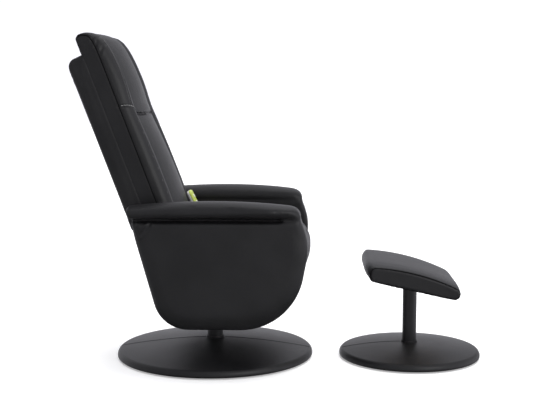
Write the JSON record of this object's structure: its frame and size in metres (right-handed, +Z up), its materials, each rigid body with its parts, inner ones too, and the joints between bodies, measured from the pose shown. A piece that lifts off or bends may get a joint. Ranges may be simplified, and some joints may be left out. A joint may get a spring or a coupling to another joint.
{
  "type": "massage recliner",
  "caption": "Swivel recliner with padded arms, a reclining massage backrest and head cushion on a round covered base, with a matching footstool and a hand control.",
  "frame": {"origin": "on the swivel axis, on the floor under the middle of the chair's round base", "axes": "+X to the front of the chair, towards the footstool; +Y to the sitter's left; +Z up"},
  "size_m": [1.2486, 0.648, 1.0192],
  "materials": {
    "black_leather": "soft satin artificial leather with fine grain",
    "base_leather": "stretched satin artificial leather",
    "black_steel": "satin black powder coat",
    "bare_steel": "turned",
    "board": "raw board",
    "lining": "black non-woven lining over board",
    "floor_pad": "matt",
    "black_plastic": "matt",
    "white_plastic": "satin",
    "green_plastic": "satin",
    "key_plastic": "soft matt",
    "circuit_board": "coated"
  },
  "bodies": {
    "base": {"base_floor_pad": "floor_pad", "base_core": "board", "base_cover": "base_leather", "column_tube": "black_steel", "column_collar": "black_plastic", "swivel_bush_upper": "black_plastic", "swivel_bush_lower": "black_plastic"},
    "seat": {"seat_plate": "black_steel", "swivel_spindle": "bare_steel", "cross_board": "board", "underside_panel": "lining", "front_panel": "black_leather", "rear_panel": "black_leather", "power_inlet": "black_plastic", "left_side_panel": "black_leather", "right_side_panel": "black_leather", "left_armrest": "black_leather", "right_armrest": "black_leather", "seat_frame": "board", "seat_deck": "board", "seat_cushion": "black_leather", "left_seat_motor": "black_plastic", "right_seat_motor": "black_plastic", "massage_control_box": "black_plastic", "left_hinge_bracket": "black_steel", "right_hinge_bracket": "black_steel", "left_hinge_pin": "bare_steel", "right_hinge_pin": "bare_steel"},
    "backrest": {"back_shell": "black_leather", "back_board": "board", "back_tube": "black_steel", "left_hinge_plate": "black_steel", "right_hinge_plate": "black_steel", "back_cushion": "black_leather", "head_cushion": "black_leather", "left_lower_back_motor": "black_plastic", "right_lower_back_motor": "black_plastic", "left_upper_back_motor": "black_plastic", "right_upper_back_motor": "black_plastic"},
    "lever": {"recline_lever": "black_plastic", "lever_shaft": "bare_steel"},
    "hand_control": {"control_rear_shell": "white_plastic", "control_front_shell": "green_plastic", "control_circuit_board": "circuit_board"},
    "footstool": {"stool_floor_pad": "floor_pad", "stool_base_core": "board", "stool_base_cover": "base_leather", "stool_column_tube": "black_steel", "stool_column_collar": "black_plastic", "stool_top_plate": "black_steel", "stool_pad_board": "board", "stool_cushion": "black_leather"},
    "power_key": {"button_power": "key_plastic"},
    "mode_key": {"button_mode": "key_plastic"},
    "strength_key": {"button_strength": "key_plastic"},
    "heat_key": {"button_heat": "key_plastic"}
  },
  "joints": [
    {"name": "seat_swivel", "type": "hinge", "parent": "base", "child": "seat", "pos_m": [0, 0, 0.16], "axis": [0, 0, 1], "continuous": true},
    {"name": "back_recline", "type": "hinge", "parent": "seat", "child": "backrest", "pos_m": [-0.1723, 0, 0.4143], "axis": [0, -1, 0], "range_deg": [0, 25]},
    {"name": "lever_lift", "type": "hinge", "parent": "seat", "child": "lever", "pos_m": [-0.15, 0.3, 0.362], "axis": [0, -1, 0], "range_deg": [0, 30], "stiffness_Nm_per_rad": 1.5},
    {"name": "control_lift", "type": "slide", "parent": "seat", "child": "hand_control", "axis": [0, 0, 1], "range_m": [0, 0.2]},
    {"name": "stool_move", "type": "slide", "parent": "base", "child": "footstool", "axis": [1, 0, 0], "range_m": [0, 0.3]},
    {"name": "power_press", "type": "slide", "parent": "hand_control", "child": "power_key", "axis": [-0.9063, 0, -0.4226], "range_m": [0, 0.0012], "stiffness_N_per_m": 500},
    {"name": "mode_press", "type": "slide", "parent": "hand_control", "child": "mode_key", "axis": [-0.9063, 0, -0.4226], "range_m": [0, 0.0012], "stiffness_N_per_m": 500},
    {"name": "strength_press", "type": "slide", "parent": "hand_control", "child": "strength_key", "axis": [-0.9063, 0, -0.4226], "range_m": [0, 0.0012], "stiffness_N_per_m": 500},
    {"name": "heat_press", "type": "slide", "parent": "hand_control", "child": "heat_key", "axis": [-0.9063, 0, -0.4226], "range_m": [0, 0.0012], "stiffness_N_per_m": 500}
  ]
}
